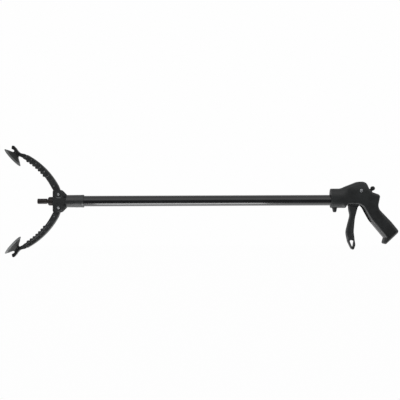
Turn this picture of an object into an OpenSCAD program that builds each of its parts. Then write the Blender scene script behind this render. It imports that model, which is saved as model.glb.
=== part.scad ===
// Reacher grabber: a pistol handle with a trigger, a straight tube, and a head with two
// curved jaws that end in suction cups. Millimetres. +X runs along the tube towards the
// handle, +Z is up and the origin is the middle of the hand grip.

/* [Tube] */
// Outside diameter of the tube
tube_od = 22; // [21.8:0.05:22]
// Wall thickness of the tube
tube_wall = 1.2; // [1:0.1:1.4]
// Length of tube seen between the head collar and the handle
tube_seen = 511.4; // [300:0.2:700]

/* [Head] */
// Distance between the two jaw pivots
pivot_spacing = 27.5; // [27:0.1:28.5]
// Distance from the jaw pivots to the front of the head
head_front = 11.8; // [11.8:0.1:13]
// Thickness of the head over its two side plates
head_w = 22; // [22:0.5:24]
// Diameter of the jaw pivot pins
jaw_pin_d = 4; // [3.5:0.1:4.5]
// Length of the round boss that carries the magnet stub
boss_l = 11; // [9:0.5:14]

/* [Jaws] */
// Angle that each jaw turns from open to closed
jaw_swing = 43.2; // [38:0.1:43.2]
// Thickness of the jaw arm between its two rails
arm_w = 12; // [11:0.5:13]
// Number of gripping teeth on each arm
tooth_count = 7; // [5:1:8]
// Height of a gripping tooth
tooth_h = 2; // [1:0.1:2.4]
// Diameter of the suction cup rim
cup_d = 46.4; // [44:0.1:46.4]

/* [Handle] */
// Thickness of the handle
handle_w = 30; // [29:0.5:32]
// Wall thickness of the handle shells
shell_wall = 2.4; // [2.2:0.1:2.6]
// Radius that softens the edges of the handle
edge_r = 3.6; // [2:0.2:4]

/* [Trigger, lock button and latch] */
// Thickness of the trigger blade
trigger_w = 15; // [13:0.5:16]
// Travel of the shaft lock button
button_travel = 1.6; // [1.2:0.1:1.7]
// Angle that the thumb latch turns to lock the trigger
latch_swing = 22; // [15:1:22]

/* [Hidden] */
$fn = 64;
hull_fn = 32;
run_gap = 0.05;
snug = 0.02;

// Everything below is laid out from the handle's front face on the tube's axis, and then
// moved so that the middle of the hand grip is the origin.
grip_x = 107;
grip_z = -50;

tube_r = tube_od / 2;
tube_rear = 28.6;
collar_l = 36;
collar_rear = -tube_seen;
tube_front = collar_rear - collar_l + 1.4;
pivot_x = collar_rear - 51.1;
pivot_z = pivot_spacing / 2;
head_x = pivot_x - head_front;
head_half = head_w / 2;
plate_t = 3;
hub_half = head_half - plate_t - 0.3;

// The jaws' levers turn evenly about the upright, so the rod moves the same each way.
fork_pin_z = 2.5;
fork_pin_r = 1.5;
lever_drop = pivot_z - fork_pin_z;
rod_travel = 2 * lever_drop * tan(jaw_swing / 2);
fork_pin_x = pivot_x - rod_travel / 2;
lever_angle = atan2(-lever_drop, -rod_travel / 2);

trigger_x = 61.1;
trigger_z = 19.4;
trigger_pin_r = 2.5;
trigger_swing = 2 * atan(rod_travel / 2 / trigger_z);
peg_x = trigger_x - rod_travel / 2;
hub_w = 9.3;
latch_x = 76;
latch_z = 12.5;
latch_pin_r = 1.5;
button_x = 8.4;
floor_z = -13.8;
cavity_half = handle_w / 2 - shell_wall;
rod_r = 2;
guide_x = tube_rear - 13;
bush_r = 12.6;
bush_l = 4.6;
front_bush_x = 14.6;
rear_bush_x = 23.4;
ring_x = 21.3;
ring_l = 3.6;
screw_places = [[8.5, 16.8], [42, 24.4], [56, 31], [92, 2], [95, -31], [118, -71]];

arm_c = [-141.2, -57];
arm_r = 158.8;
inner_c = [-145.3, -52.9];
inner_r = 146.3;
arm_end = 61.5;
cup_pin = [-82.7, 83.6];
cup_neck = [-89.7, 83.3];
cup_angle = 41;
cup_hub_h = 10;
neck_r = 3.2;

black = "#26282a";
soft_black = "#303234";
steel = "#b9bcc0";
rubber = "#3a3b3c";
nylon = "#d8d6cc";

function unit(v) = v / norm(v);

function arc(c, r, a0, a1, n) =
    [for (i = [0:n]) let (a = a0 + (a1 - a0) * i / n) [c[0] + r * cos(a), c[1] + r * sin(a)]];

// The corner p between a and b, as an arc of radius r.
function corner(a, p, b, r) =
    let (
        u = unit(a - p),
        v = unit(b - p),
        half = acos(u * v) / 2,
        t = r / tan(half),
        c = p + unit(u + v) * r / sin(half),
        s = p + u * t - c,
        e = p + v * t - c,
        a0 = atan2(s[1], s[0]),
        turn = (atan2(e[1], e[0]) - a0 + 540) % 360 - 180,
        n = max(1, ceil(abs(turn) / 10))
    )
    arc(c, r, a0, a0 + turn, n);

// A closed outline from [x, z, corner radius] points.
function outline(q) =
    let (n = len(q))
    [for (i = [0:n - 1])
        let (a = q[(i + n - 1) % n], p = q[i], b = q[(i + 1) % n])
        each corner([a[0], a[1]], [p[0], p[1]], [b[0], b[1]], p[2])];

function at(c, r, a) = [c[0] + r * cos(a), c[1] + r * sin(a)];

module place() {
    translate([-grip_x, 0, -grip_z]) children();
}

module y_slab(y0, y1) {
    translate([0, y1, 0]) rotate([90, 0, 0]) linear_extrude(y1 - y0) children();
}

module y_cyl(r, y0, y1, x, z) {
    translate([x, y1, z]) rotate([90, 0, 0]) cylinder(r = r, h = y1 - y0);
}

module x_cyl(r, x0, x1) {
    translate([x0, 0, 0]) rotate([0, 90, 0]) cylinder(r = r, h = x1 - x0);
}

// Turns [radius, x] points about the X axis.
module x_turned(points) {
    rotate([0, 90, 0]) rotate_extrude() polygon(points);
}

// ---------------------------------------------------------------- handle

module handle_outline() {
    polygon(outline([
        [0, 24.1, 1.6], [20, 24.1, 20], [55.5, 38.1, 16], [72.6, 38.3, 12], [78, 24, 1.4],
        [85.3, 16.1, 6], [101.3, 10.6, 6], [95.8, -16, 16], [124, -44.7, 60],
        [140.6, -65.3, 6], [113, -91.3, 3.4], [106.6, -90.4, 3.2], [110.2, -78, 3],
        [79.5, -41.5, 20], [63, -8.6, 18], [34, -8.6, 4], [29, -16.2, 3], [0, -16.2, 1.6]
    ]));
}

// The open stretch of the rim where the trigger passes.
module trigger_slot() {
    polygon([
        [30.5, -20], [30.5, -11.4], [35.5, -5], [64, -4], [74, -16], [80, -34], [84.4, -44],
        [78, -50], [60, -40]
    ]);
}

// One half of the solid handle, with its outer edge softened in steps. Each step is a slab
// that reaches down inside the one before it, so that the half is a single solid.
module half_body(side) {
    steps = 5;
    flat = handle_w / 2 - edge_r;
    half_y(side, 0.02, flat) handle_outline();
    for (i = [0:steps - 1])
        half_y(side, 1 + i, flat + edge_r * sin(90 * (i + 1) / steps))
            offset(delta = -edge_r * (1 - cos(90 * (i + 0.6) / steps))) handle_outline();
}

// A slab between two distances from the middle plane, on the near (-1) or far (1) side.
module half_y(side, d0, d1) {
    if (side < 0)
        y_slab(-d1, -d0) children();
    else
        y_slab(d0, d1) children();
}

module half_cyl(side, r, d0, d1, x, z) {
    if (side < 0)
        y_cyl(r, -d1, -d0, x, z);
    else
        y_cyl(r, d0, d1, x, z);
}

module handle_shell(side) {
    pin_head_r = 3.8;
    difference() {
        union() {
            difference() {
                half_body(side);
                half_y(side, -1, cavity_half) offset(delta = -shell_wall) handle_outline();
                half_y(side, -1, hub_w + 0.7) trigger_slot();
                // Slot in the top that the thumb latch stands in.
                half_y(side, -1, 5) polygon([[75, 28], [75, 14], [80, 12], [88, 14], [88, 28]]);
            }
            // Ribs that seat the two tube bushes.
            for (x = [front_bush_x, rear_bush_x])
                half_y(side, 0.02, cavity_half + 0.2)
                    translate([x, floor_z - 0.2]) square([bush_l, 35.4]);
            for (p = screw_places)
                half_cyl(side, 3.6, 0.02, cavity_half + 0.2, p[0], p[1]);
            half_cyl(side, 6, hub_w + 0.3, cavity_half + 0.2, trigger_x, trigger_z);
            half_cyl(side, 3.6, 3.4, cavity_half + 0.2, latch_x, latch_z);
        }
        x_cyl(tube_r + 0.4, -1, 3);
        x_cyl(bush_r + snug, 3, rear_bush_x + bush_l + 0.3);
        // Room for the tube's end and the rim of the rod's guide.
        x_cyl(tube_r + 0.6, rear_bush_x, tube_rear + 2.9);
        // Channel under the bushes for the button's leaf spring.
        translate([3, -5, floor_z]) cube([rear_bush_x + bush_l - 2.7, 10, 2]);
        translate([button_x, 0, -20]) cylinder(r = 5.3, h = 9);
        half_cyl(side, trigger_pin_r + snug, -1, handle_w, trigger_x, trigger_z);
        half_cyl(side, pin_head_r, handle_w / 2 - 1.2, handle_w, trigger_x, trigger_z);
        half_cyl(side, latch_pin_r + snug, 3, cavity_half + 1.4, latch_x, latch_z);
        for (p = screw_places) {
            if (side > 0) {
                half_cyl(side, 1.6, -1, handle_w, p[0], p[1]);
                half_cyl(side, 3, handle_w / 2 - 3, handle_w, p[0], p[1]);
            } else {
                half_cyl(side, 1.52, -1, 11, p[0], p[1]);
            }
        }
    }
}

module handle_shell_near() {
    color(black) place() handle_shell(-1);
}

module handle_shell_far() {
    color(black) place() handle_shell(1);
}

// Screws that draw the far shell onto the near one, heads sunk in the far side.
module handle_screws() {
    seat = handle_w / 2 - 3;
    color(steel) place() for (p = screw_places) difference() {
        union() {
            y_cyl(1.5, -10, seat, p[0], p[1]);
            y_cyl(2.8, seat, seat + 2.2, p[0], p[1]);
        }
        for (a = [0, 90])
            translate([p[0], seat + 2.2, p[1]]) rotate([0, a, 0]) cube([3.2, 2, 0.7], center = true);
    }
}

module trigger_pivot_pin() {
    color(steel) place() translate([trigger_x, 0, trigger_z]) rotate([90, 0, 0]) {
        cylinder(r = trigger_pin_r, h = handle_w - 2.4, center = true);
        for (m = [0, 1]) mirror([0, 0, m]) translate([0, 0, handle_w / 2 - 1.2])
            rotate_extrude() polygon([[0, 0], [3.7, 0], [3.7, 0.9], [2.9, 1.5], [1.5, 1.8], [0, 1.9]]);
    }
}

module latch_pin() {
    color(steel) place() y_cyl(latch_pin_r, -cavity_half - 1.2, cavity_half + 1.2, latch_x, latch_z);
}

module tube_bush(x) {
    color(nylon) place() difference() {
        x_cyl(bush_r, x, x + bush_l);
        x_cyl(tube_r + run_gap, x - 1, x + bush_l + 1);
    }
}

module front_bush() {
    tube_bush(front_bush_x);
}

module rear_bush() {
    tube_bush(rear_bush_x);
}

// Flat strip that pushes the lock button out. Its rear end is trapped under the bushes.
module button_spring() {
    color(steel) place() difference() {
        translate([4, -4.4, -13.15]) cube([rear_bush_x + bush_l - 5, 8.8, 0.4]);
        translate([button_x, 0, -14]) cylinder(r = 2.1, h = 3);
    }
}

// Round peg under the barrel. Pressed in, its tip enters a hole of the tube and holds
// the shaft from turning.
module shaft_lock_button() {
    color(black) place() translate([button_x, 0, 0]) rotate_extrude() polygon([
        [0, -25.1], [1.6, -24.9], [2.7, -24.1], [3.2, -22.8], [3.9, -20.4], [5.2, -16.6],
        [5.2, floor_z], [6, floor_z], [6, floor_z + 0.6], [1.8, floor_z + 0.6], [1.8, -11.6],
        [1.5, -11.3], [0, -11.3]
    ]);
}

// ---------------------------------------------------------------- trigger and latch

module trigger_outline() {
    polygon(outline([
        [53.5, 13, 4], [44.5, -4, 6], [36.8, -10.6, 3], [37.4, -20, 12], [39.8, -32, 16],
        [31, -66, 26], [34.2, -86, 14], [41.6, -101.4, 6], [47.6, -103.6, 3.4],
        [51, -93, 10], [46.9, -66, 40], [49.6, -37, 40], [55, -17, 20], [66, 8, 12],
        [66, 14, 2]
    ]));
}

module trigger() {
    hub_r = 8.5;
    sector_r = 10;
    web_z = -9.6;
    blade = trigger_w / 2;
    color(soft_black) place() difference() {
        union() {
            y_cyl(hub_r, -hub_w, hub_w, trigger_x, trigger_z);
            // Notched sector for the latch, behind the hub. It ends inside the first notch, so
            // that the latch's nose can swing in past it.
            y_slab(-3, 3) polygon(concat(
                [[trigger_x, trigger_z]], arc([trigger_x, trigger_z], sector_r, -72, -20, 8)
            ));
            // Solid blade below the fork.
            y_slab(-blade, blade) intersection() {
                trigger_outline();
                translate([20, -110]) square([50, 110 + web_z]);
            }
            // The two cheeks of the fork, one each side of the rod's spool.
            for (y = [-hub_w, 6.8]) y_slab(y, y + 2.5) intersection() {
                trigger_outline();
                translate([20, -26]) square([60, 52]);
            }
            for (y = [-6.9, 3.7]) y_cyl(2.1, y, y + 3.2, peg_x, 0);
        }
        y_cyl(trigger_pin_r + run_gap, -20, 20, trigger_x, trigger_z);
        // Notches that the thumb latch drops into, at rest, half way and fully pulled.
        for (k = [0, 0.5, 1]) translate([trigger_x, 0, trigger_z])
            rotate([0, 26.6 + trigger_swing * k, 0]) y_cyl(1.5, -4, 4, sector_r + 0.4, 0);
        // Hanging eye.
        y_slab(-20, 20) polygon(outline([[37.4, -82.2, 2.4], [47.9, -83.8, 2.4], [45.3, -101.2, 1.7]]));
    }
}

module thumb_latch() {
    nose_a = 155.2 - latch_swing - 3;
    nose_r = 0.8;
    color(black) place() difference() {
        union() {
            y_cyl(4, -3.2, 3.2, latch_x, latch_z);
            y_slab(-4.4, 4.4) hull() {
                translate([87.6, 24.3]) circle(r = 4.5, $fn = hull_fn);
                translate([83, 19.6]) circle(r = 4.2, $fn = hull_fn);
            }
            y_slab(-3.2, 3.2) hull() {
                translate([84, 20.6]) circle(r = 3, $fn = hull_fn);
                translate([latch_x, latch_z]) circle(r = 3, $fn = hull_fn);
            }
            translate([latch_x, 0, latch_z]) rotate([0, -nose_a, 0]) {
                translate([0, -2.6, -nose_r]) cube([6, 5.2, 2 * nose_r]);
                y_cyl(nose_r, -2.6, 2.6, 6, 0);
            }
        }
        y_cyl(latch_pin_r + run_gap, -6, 6, latch_x, latch_z);
    }
}

// ---------------------------------------------------------------- tube

module shaft_tube() {
    color(black) place() difference() {
        x_cyl(tube_r, tube_front, tube_rear);
        x_cyl(tube_r - tube_wall, tube_front - 1, tube_rear + 1);
        // Lock holes at 0, 45 and 90 degrees of shaft turn.
        for (a = [0, 45, 90]) rotate([-a, 0, 0])
            translate([button_x, 0, -tube_r - 1]) cylinder(r = 2.1, h = 4);
        for (a = [0, 180]) rotate([a, 0, 0]) translate([ring_x, 0, 7]) cylinder(r = 1.02, h = 6);
        translate([collar_rear - 15, 0, -13]) cylinder(r = 1.52, h = 6);
    }
}

// Ring on the tube between the bushes. Its lug meets the shell walls after a quarter turn.
module retaining_ring() {
    color(nylon) place() difference() {
        union() {
            x_cyl(bush_r, ring_x - ring_l / 2, ring_x + ring_l / 2);
            rotate([-45, 0, 0]) translate([ring_x - 1.6, -1.2, 11.5]) cube([3.2, 2.4, 3.8]);
        }
        x_cyl(tube_r + snug / 2, ring_x - ring_l, ring_x + ring_l);
        for (a = [0, 180]) rotate([a, 0, 0]) translate([ring_x, 0, 7]) cylinder(r = 1.02, h = 8);
    }
}

module ring_grub_screws() {
    color(steel) place() for (a = [0, 180]) rotate([a, 0, 0])
        translate([ring_x, 0, tube_r - tube_wall]) cylinder(r = 1, h = 2.6);
}

// Plug in the tube's rear end that guides the rod and takes the spring's thrust.
module rod_guide() {
    color(nylon) place() difference() {
        union() {
            x_cyl(tube_r - tube_wall - snug, guide_x, tube_rear + 0.02);
            x_cyl(tube_r - 0.2, tube_rear + 0.02, tube_rear + 1.2);
        }
        x_cyl(rod_r + run_gap, guide_x - 1, tube_rear + 3);
        for (a = [0, 180]) rotate([a, 0, 0]) translate([ring_x, 0, 9.2]) cylinder(r = 1.3, h = 4);
    }
}

// ---------------------------------------------------------------- head

module head_collar() {
    front = collar_rear - collar_l;
    tongue = head_half - plate_t - snug;
    color(black) place() difference() {
        union() {
            x_turned([
                [0, front], [12.4, front], [12.8, front + 1.2], [13, collar_rear - 4.4],
                [13.2, collar_rear - 3.6], [13.2, collar_rear - 0.6], [12.6, collar_rear],
                [0, collar_rear]
            ]);
            // Tongue held between the head's side plates.
            translate([pivot_x + 9.9, -tongue, -11.6])
                cube([front - pivot_x - 9.8, 2 * tongue, 23.2]);
        }
        x_cyl(tube_r + snug, tube_front - 0.02, 0);
        x_cyl(rod_r + run_gap, pivot_x, tube_front + 1);
        for (z = [-8, 8]) y_cyl(1.27, -20, 20, pivot_x + 12.6, z);
        translate([collar_rear - 15, 0, -15]) cylinder(r = 1.52, h = 6);
        translate([collar_rear - 15, 0, -14]) cylinder(r = 2.7, h = 2);
    }
}

// Screw under the collar that keeps it on the tube.
module collar_screw() {
    color(steel) place() translate([collar_rear - 15, 0, 0]) {
        translate([0, 0, -13]) cylinder(r = 2.5, h = 1);
        translate([0, 0, -12]) cylinder(r = 1.5, h = 2.2);
    }
}

module plate_outline() {
    front = pivot_x - head_front;
    hull() {
        for (z = [-1, 1]) {
            translate([front + 4.4, z * 19]) circle(r = 4.4, $fn = hull_fn);
            translate([pivot_x, z * pivot_z]) circle(r = 9.8, $fn = hull_fn);
        }
        translate([collar_rear - collar_l - 0.1, -12.4]) square([0.08, 24.8]);
    }
}

// Half of the head, with its share of the front wall, as seen from the near (-1) side.
module head_half_solid(side) {
    boss_h = 1.2;
    difference() {
        union() {
            half_y(side, head_half - plate_t, head_half) plate_outline();
            half_y(side, 0.01, head_half - plate_t + 0.1)
                translate([head_x, -9.3]) square([2.6, 18.6]);
            for (z = [-1, 1])
                half_cyl(side, 8.2, head_half - 0.1, head_half + boss_h, pivot_x, z * pivot_z);
            half_y(side, head_half - 0.1, head_half + 0.8)
                translate([pivot_x - 4.4, 6.6]) square([8, 2]);
        }
        x_cyl(3.7, head_x - 1, head_x + 3);
        for (z = [-1, 1])
            half_cyl(side, jaw_pin_d / 2 + snug, 0, 20, pivot_x, z * pivot_z);
        for (z = [-8, 8]) half_cyl(side, 1.27, 0, 20, pivot_x + 12.6, z);
    }
}

module head_half_near() {
    color(soft_black) place() head_half_solid(-1);
}

module head_half_far() {
    color(soft_black) place() head_half_solid(1);
}

module rivet(r, reach, head_r, head_h) {
    rotate([90, 0, 0]) {
        cylinder(r = r, h = 2 * reach, center = true);
        for (m = [0, 1]) mirror([0, 0, m]) translate([0, 0, reach])
            rotate_extrude() polygon([[0, 0], [head_r, 0], [head_r * 0.7, head_h * 0.8], [0, head_h]]);
    }
}

module head_rivets() {
    color(black) place() for (z = [-8, 8])
        translate([pivot_x + 12.6, 0, z]) rivet(1.25, head_half, 2.2, 0.7);
}

module jaw_pivot_pins() {
    color(steel) place() for (z = [-1, 1])
        translate([pivot_x, 0, z * pivot_z]) rivet(jaw_pin_d / 2, head_half + 1.2, 2.7, 0.8);
}

module front_boss() {
    r = 9;
    tip = head_x - boss_l;
    color("#4a4543") place() x_turned([
        [3.7, head_x - 0.02], [3.7, tip], [r - 2.4, tip], [r - 1, tip + 0.7],
        [r, tip + 2.4], [r, head_x - 0.02]
    ]);
}

module magnet_holder() {
    neck_x = head_x - boss_l;
    tip = neck_x - 22;
    color("#4a4543") place() difference() {
        x_turned([
            [0, tip], [4.9, tip], [5.5, tip + 0.6], [5.5, neck_x - 2.9], [4.9, neck_x - 2.3],
            [3.65, neck_x - 2.3], [3.65, head_x + 2.6], [0, head_x + 2.6]
        ]);
        x_cyl(4.02, tip - 1, tip + 4.1);
    }
}

module magnet() {
    tip = head_x - boss_l - 22;
    color(steel) place() x_turned([[0, tip], [3.6, tip], [4, tip + 0.4], [4, tip + 4.08], [0, tip + 4.08]]);
}

// ---------------------------------------------------------------- pull rod

module pull_rod() {
    color(steel) place() x_cyl(rod_r, fork_pin_x + 2.2, peg_x + 4.4);
}

module spring_collar() {
    color(steel) place() difference() {
        x_cyl(6.5, -42, -37);
        x_cyl(rod_r + snug / 2, -43, -36);
    }
}

// Coil spring between the collar on the rod and the guide in the tube.
module return_spring() {
    turns = 11;
    steps = 12;
    sides = 6;
    coil_r = 5;
    wire_r = 0.7;
    x0 = -36.2;
    pitch = (guide_x - 0.8 - x0) / turns;
    rings = turns * steps;
    points = [for (i = [0:rings], j = [0:sides - 1])
        let (a = 360 * i / steps, b = 360 * j / sides, r = coil_r + wire_r * cos(b))
        [x0 + pitch * i / steps + wire_r * sin(b), r * cos(a), r * sin(a)]];
    walls = [for (i = [0:rings - 1], j = [0:sides - 1])
        let (k = (j + 1) % sides)
        [i * sides + j, (i + 1) * sides + j, (i + 1) * sides + k, i * sides + k]];
    start = [[for (j = [0:sides - 1]) j]];
    end = [[for (j = [0:sides - 1]) rings * sides + sides - 1 - j]];
    color(steel) place() polyhedron(points, concat(walls, start, end));
}

module crosshead() {
    color(nylon) place() difference() {
        translate([fork_pin_x - 3.7, -2.4, -4.9]) cube([8.1, 4.8, 9.8]);
        x_cyl(rod_r + snug, fork_pin_x + 2.18, fork_pin_x + 9);
        for (s = [-1, 1]) y_cyl(fork_pin_r + snug, -4, 4, fork_pin_x, s * fork_pin_z);
    }
}

// One pin each side, so that each jaw's lever has its own.
module crosshead_pins() {
    color(steel) place() {
        y_cyl(fork_pin_r, -hub_half + 0.2, 2.4, fork_pin_x, fork_pin_z);
        y_cyl(fork_pin_r, -2.4, hub_half - 0.2, fork_pin_x, -fork_pin_z);
    }
}

// Grooved bobbin on the rod's rear end, held by the pegs of the trigger's fork.
module rod_spool() {
    groove = 2.25;
    end = 4.45;
    color(nylon) place() translate([peg_x, 0, 0]) x_turned([
        [rod_r + snug / 2, -end], [5.8, -end], [6.2, -end + 0.4], [6.2, -groove], [3.4, -groove],
        [3.4, groove], [6.2, groove], [6.2, end - 0.4], [5.8, end], [rod_r + snug / 2, end]
    ]);
}

// ---------------------------------------------------------------- jaws

// Side view of one arm, from the pivot out to its end step.
module arm_outline() {
    polygon(concat(
        [[7.4, 1.5], [2.6, 8]],
        arc(arm_c, arm_r, 28, arm_end, 14),
        arc(inner_c, inner_r, arm_end - 0.4, 26.6, 14),
        [[-12.4, 9.4], [-7.6, -1]]
    ));
}

module teeth() {
    for (i = [0:tooth_count - 1]) {
        a = 38.9 + 2.97 * i;
        polygon([
            at(inner_c, inner_r + 1, a - 1.0), at(inner_c, inner_r - tooth_h, a + 0.1),
            at(inner_c, inner_r + 1, a + 0.8)
        ]);
    }
}

// The hollow between the rails of an arm, and its cross ribs left standing.
module arm_recess() {
    difference() {
        polygon(concat(
            arc(arm_c, arm_r - 2.3, 32.5, 59.5, 12),
            arc(inner_c, inner_r + 2.6, 59.2, 31.4, 12)
        ));
        for (a = [37:4.5:57]) rotate(0) polygon([
            at(arm_c, arm_r - 18, a), at(arm_c, arm_r + 2, a),
            at(arm_c, arm_r + 2, a + 0.5), at(arm_c, arm_r - 18, a + 0.5)
        ]);
    }
}

module jaw_arm() {
    lever_w = 7.2;
    half = arm_w / 2;
    lever_y = -hub_half + 0.3;
    slot_r = fork_pin_r + 0.2;
    difference() {
        union() {
            y_cyl(8, -hub_half, hub_half, 0, 0);
            y_slab(-half, half) {
                arm_outline();
                teeth();
            }
            y_cyl(1.7, -half - 0.5, half + 0.5, -10, 17.8);
            // Neck that carries the cup holder's pin.
            y_slab(-3, 3) hull() {
                translate(cup_pin) circle(r = neck_r, $fn = hull_fn);
                translate([-72, 80]) circle(r = 4.6, $fn = hull_fn);
            }
            // Lever that reaches down to the crosshead's pin.
            rotate([0, -lever_angle, 0])
                translate([0, lever_y, -lever_w / 2]) cube([14.4, 4.5, lever_w]);
        }
        y_cyl(jaw_pin_d / 2 + run_gap, -20, 20, 0, 0);
        rotate([0, -lever_angle, 0]) {
            translate([lever_drop - 0.3, -20, -slot_r]) cube([9, 40, 2 * slot_r]);
            y_cyl(slot_r, -20, 20, lever_drop - 0.3, 0);
        }
        for (y = [-half - 1, 2.4]) y_slab(y, y + half - 1.4) arm_recess();
        y_cyl(1.52, -10, 10, cup_pin[0], cup_pin[1]);
    }
}

// The cup's own frame: X runs back from the rim along its axis, Z across it, outwards.
module cup_frame() {
    translate([
        cup_neck[0] - cup_hub_h * cos(cup_angle), 0, cup_neck[1] - cup_hub_h * sin(cup_angle)
    ]) rotate([0, -cup_angle, 0]) children();
}

// Moulded end piece: a clevis on the arm's neck, a peg for the cup and a hooked finger.
module cup_holder() {
    difference() {
        union() {
            cup_frame() {
                x_cyl(7.2, 11.5, 13.35);
                x_cyl(3.5, 6.6, 12.7);
                y_slab(-6, 6) polygon(outline([
                    [12, -6.6, 0.6], [12, 7.2, 0.6], [18.2, 7.2, 1], [18.6, -2, 3], [16, -8.8, 2.4]
                ]));
                y_slab(-4, 4) polygon(outline([
                    [12.6, 4, 0.5], [13.4, 10.2, 2], [12.2, 13.4, 0.5], [11.9, 16, 1],
                    [15, 18.6, 0.8], [17.9, 18.4, 0.8], [18.3, 4, 0.5]
                ]));
            }
            y_cyl(3.9, -5.7, 5.7, cup_pin[0], cup_pin[1]);
        }
        // Slot for the arm's neck.
        y_slab(-3.02, 3.02) hull() {
            translate(cup_pin) circle(r = neck_r + 0.2, $fn = hull_fn);
            translate([-72, 80]) circle(r = 6.4, $fn = hull_fn);
        }
        y_cyl(1.52, -10, 10, cup_pin[0], cup_pin[1]);
    }
}

module cup_pin_solid() {
    translate([cup_pin[0], 0, cup_pin[1]]) rivet(1.5, 6.02, 2.1, 0.5);
}

// Soft bell with a thin lip. Its neck is pushed over the holder's peg.
module suction_cup() {
    r = cup_d / 2;
    cup_frame() x_turned([
        [r, 0.02], [r, 0.5], [r - 3.2, 1.7], [r - 7.4, 3.4], [r - 11, 5.6], [r - 13.8, 7.8],
        [r - 15.6, 9.8], [r - 15.9, 11.4], [3.55, 11.4], [3.55, 6.5], [0, 6.5], [0, 4.9],
        [4, 4.7], [9, 3.5], [14, 2], [r - 3.4, 0.7], [r - 0.9, 0.02]
    ]);
}

module upper() {
    place() translate([pivot_x, 0, pivot_z]) children();
}

// Both jaws are the same mouldings: the lower one is turned over about the tube's axis.
module lower() {
    place() rotate([180, 0, 0]) translate([pivot_x, 0, pivot_z]) children();
}

module jaw_arm_upper() {
    color(soft_black) upper() jaw_arm();
}

module cup_holder_upper() {
    color(black) upper() cup_holder();
}

module cup_pin_upper() {
    color(steel) upper() cup_pin_solid();
}

module suction_cup_upper() {
    color(rubber) upper() suction_cup();
}

module jaw_arm_lower() {
    color(soft_black) lower() jaw_arm();
}

module cup_holder_lower() {
    color(black) lower() cup_holder();
}

module cup_pin_lower() {
    color(steel) lower() cup_pin_solid();
}

module suction_cup_lower() {
    color(rubber) lower() suction_cup();
}

handle_shell_near();
handle_shell_far();
handle_screws();
trigger_pivot_pin();
latch_pin();
front_bush();
rear_bush();
button_spring();
trigger();
thumb_latch();
shaft_lock_button();
shaft_tube();
retaining_ring();
ring_grub_screws();
rod_guide();
head_collar();
collar_screw();
head_half_near();
head_half_far();
head_rivets();
jaw_pivot_pins();
front_boss();
magnet_holder();
magnet();
pull_rod();
spring_collar();
return_spring();
crosshead();
crosshead_pins();
rod_spool();
jaw_arm_upper();
cup_holder_upper();
cup_pin_upper();
suction_cup_upper();
jaw_arm_lower();
cup_holder_lower();
cup_pin_lower();
suction_cup_lower();
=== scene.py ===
import math

import bmesh
import bpy
import numpy as np
from mathutils import Matrix, Vector
from mathutils.geometry import delaunay_2d_cdt


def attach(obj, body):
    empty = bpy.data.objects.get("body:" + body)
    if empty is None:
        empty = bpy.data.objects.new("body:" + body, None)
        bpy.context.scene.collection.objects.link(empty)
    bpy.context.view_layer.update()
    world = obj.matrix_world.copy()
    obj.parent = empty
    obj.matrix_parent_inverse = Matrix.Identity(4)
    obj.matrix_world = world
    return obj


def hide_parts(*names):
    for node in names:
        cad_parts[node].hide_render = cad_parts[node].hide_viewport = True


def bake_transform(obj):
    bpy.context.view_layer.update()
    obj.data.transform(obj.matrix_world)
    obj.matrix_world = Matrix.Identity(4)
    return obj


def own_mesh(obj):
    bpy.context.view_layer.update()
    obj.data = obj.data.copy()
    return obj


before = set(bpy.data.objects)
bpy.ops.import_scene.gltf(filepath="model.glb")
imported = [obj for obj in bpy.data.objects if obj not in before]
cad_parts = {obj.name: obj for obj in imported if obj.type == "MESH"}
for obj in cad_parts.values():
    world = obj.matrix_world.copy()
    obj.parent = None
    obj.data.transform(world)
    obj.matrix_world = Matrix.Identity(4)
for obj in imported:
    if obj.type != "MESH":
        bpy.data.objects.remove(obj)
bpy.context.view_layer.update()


# ---------------------------------------------------------------- tube
# The shaft: drawn aluminium tube, 22 mm outside and 1.2 mm thick, dipped in gloss black enamel.
# It runs from inside the head's collar to a guide plug inside the handle.

GRIP = Vector((0.107, 0.0, -0.05))  # the grip's middle, from the handle's front on the tube's axis
TUBE_FRONT = -546.0
TUBE_REAR = 28.6
TUBE_R = 11.0
BUTTON_X = 8.4  # the lock button's middle
RING_SCREW_X = 21.3
COLLAR_SCREW_X = -526.4
AXES = {"x": ((0, 1, 0), (0, 0, 1), (1, 0, 0)), "y": ((1, 0, 0), (0, 0, 1), (0, 1, 0)),
        "z": ((1, 0, 0), (0, 1, 0), (0, 0, 1))}


def place(x, y, z):
    """A point in mm from the handle's front face on the tube's axis, in the row frame."""
    return Vector((x, y, z)) / 1000 - GRIP


def srgb(code):
    """A linear colour from an sRGB hex value."""
    parts = [int(code[i:i + 2], 16) / 255 for i in (1, 3, 5)]
    return (*[c / 12.92 if c <= 0.04045 else ((c + 0.055) / 1.055) ** 2.4 for c in parts], 1.0)


def add(tree, kind, settings=None, links=None):
    """Adds a node. Settings go by property name or socket, a ramp's stops are (position, hex)
    pairs, and links bring other nodes' outputs in."""
    made = tree.nodes.new("ShaderNode" + kind)
    for key, value in (settings or {}).items():
        if key == "stops":
            colours = made.color_ramp.elements
            while len(colours) < len(value):
                colours.new(0.5)
            for stop, (position, code) in zip(colours, value):
                stop.position, stop.color = position, srgb(code)
        elif isinstance(key, str) and hasattr(made, key):
            setattr(made, key, value)
        else:
            made.inputs[key].default_value = value
    for key, source in (links or {}).items():
        tree.links.new(source, made.inputs[key])
    return made


def blank(name):
    """An empty node material, and the object's own coordinates in metres."""
    made = bpy.data.materials.new(name)
    made.use_nodes = True
    made.node_tree.nodes.clear()
    tree = made.node_tree
    return made, tree, add(tree, "TexCoord").outputs["Object"]


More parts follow.
